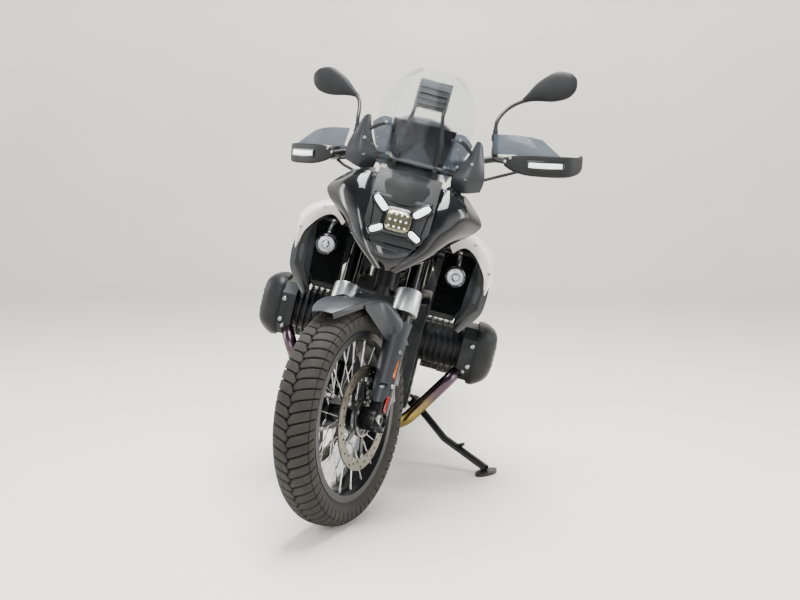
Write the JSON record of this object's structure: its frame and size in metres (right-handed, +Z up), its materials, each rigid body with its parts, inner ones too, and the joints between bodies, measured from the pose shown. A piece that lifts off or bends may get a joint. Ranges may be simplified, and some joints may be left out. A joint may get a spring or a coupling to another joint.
{
  "type": "adventure motorcycle",
  "caption": "Tall adventure motorcycle with a flat twin engine, wire wheels, hand guards, screen and rack, leaning on its side stand with the fork turned",
  "frame": {"origin": "on the floor under the middle of the bounding box, with the machine leaning on its side stand", "axes": "+Z up, -Y towards the front wheel, +X to the machine's left, the side it leans to"},
  "size_m": [1.0572, 2.1984, 1.3787],
  "materials": {
    "amber_lens": "gloss",
    "black_gloss": "gloss",
    "black_metal": "gloss",
    "bright_steel": "satin",
    "charcoal_paint": "satin",
    "clear_screen": "polished",
    "dark_plastic": "matte",
    "dark_rubber": "matte",
    "engine_casting": "satin",
    "frame_paint": "satin",
    "heated_steel": "satin",
    "lamp_glass": "polished",
    "light_white": "gloss",
    "plate_white": "gloss",
    "red_lens": "gloss",
    "seat_cover": "satin",
    "silver_casting": "satin",
    "smoked_shield": "gloss",
    "tyre_rubber": "matte",
    "white_paint": "gloss"
  },
  "bodies": {
    "root": {"main_frame": "frame_paint", "engine_block": "engine_casting", "cylinders": "engine_casting", "head_covers": "silver_casting", "exhaust_headers": "heated_steel", "silencer": "bright_steel", "skid_plate": "silver_casting", "swingarm": "frame_paint", "rear_shock": "black_metal", "rear_caliper": "black_metal", "front_suspension": "frame_paint", "fuel_tank": "charcoal_paint", "nose_cover": "charcoal_paint", "headlamp_housing": "black_gloss", "headlamp_lens": "lamp_glass", "light_bars": "light_white", "radiators": "dark_plastic", "cowls": "charcoal_paint", "white_panels": "white_paint", "fog_lamps": "black_gloss", "side_panels": "black_gloss", "windscreen": "clear_screen", "wind_deflectors": "charcoal_paint", "screen_carrier": "frame_paint", "display": "black_gloss", "navigation_holder": "dark_plastic", "rider_seat": "seat_cover", "pillion_seat": "seat_cover", "subframe": "frame_paint", "tail_unit": "dark_plastic", "tail_lamp": "red_lens", "luggage_rack": "frame_paint", "number_plate": "plate_white", "rear_mudguards": "dark_plastic", "footrests": "black_metal", "stand_bracket": "frame_paint"},
    "steering": {"front_axle": "bright_steel", "fork_sliders": "black_metal", "fork_collars": "silver_casting", "fork_stanchions": "black_metal", "fork_bridges": "frame_paint", "handlebar": "black_metal", "handlebar_grips": "dark_rubber", "bar_controls": "black_metal", "hand_guards": "dark_plastic", "front_indicators": "amber_lens", "hand_shields": "smoked_shield", "mirrors": "dark_plastic", "front_mudguard": "charcoal_paint", "front_reflectors": "amber_lens", "front_calipers": "black_metal", "brake_hoses": "dark_rubber"},
    "front_wheel": {"front_tyre": "tyre_rubber", "front_rim": "black_metal", "front_discs": "bright_steel"},
    "rear_wheel": {"rear_tyre": "tyre_rubber", "rear_rim": "black_metal", "rear_disc": "bright_steel"},
    "side_stand": {"side_stand_leg": "black_metal"},
    "filler_cap": {"filler_flap": "charcoal_paint"}
  },
  "joints": [
    {"name": "steering", "type": "hinge", "parent": "root", "child": "steering", "pos_m": [0.01239, -0.37406, 1.04943], "axis": [0.2186, 0.442, 0.87], "range_deg": [-13, 61]},
    {"name": "front_wheel_spin", "type": "hinge", "parent": "steering", "child": "front_wheel", "pos_m": [-0.1876, -0.78794, 0.3255], "axis": [0.9298, -0.365, -0.0482], "continuous": true},
    {"name": "rear_wheel_spin", "type": "hinge", "parent": "root", "child": "rear_wheel", "pos_m": [-0.17199, 0.72671, 0.31481], "axis": [0.9699, -0.0001, -0.2436], "continuous": true},
    {"name": "side_stand_fold", "type": "hinge", "parent": "root", "child": "side_stand", "pos_m": [-0.00813, -0.04935, 0.20407], "axis": [0.5114, -0.1927, 0.8375], "range_deg": [0, 110]},
    {"name": "filler_flap_open", "type": "hinge", "parent": "root", "child": "filler_cap", "pos_m": [-0.00392, -0.22717, 0.98445], "axis": [0.9699, -0.0001, -0.2436], "range_deg": [0, 90]}
  ]
}
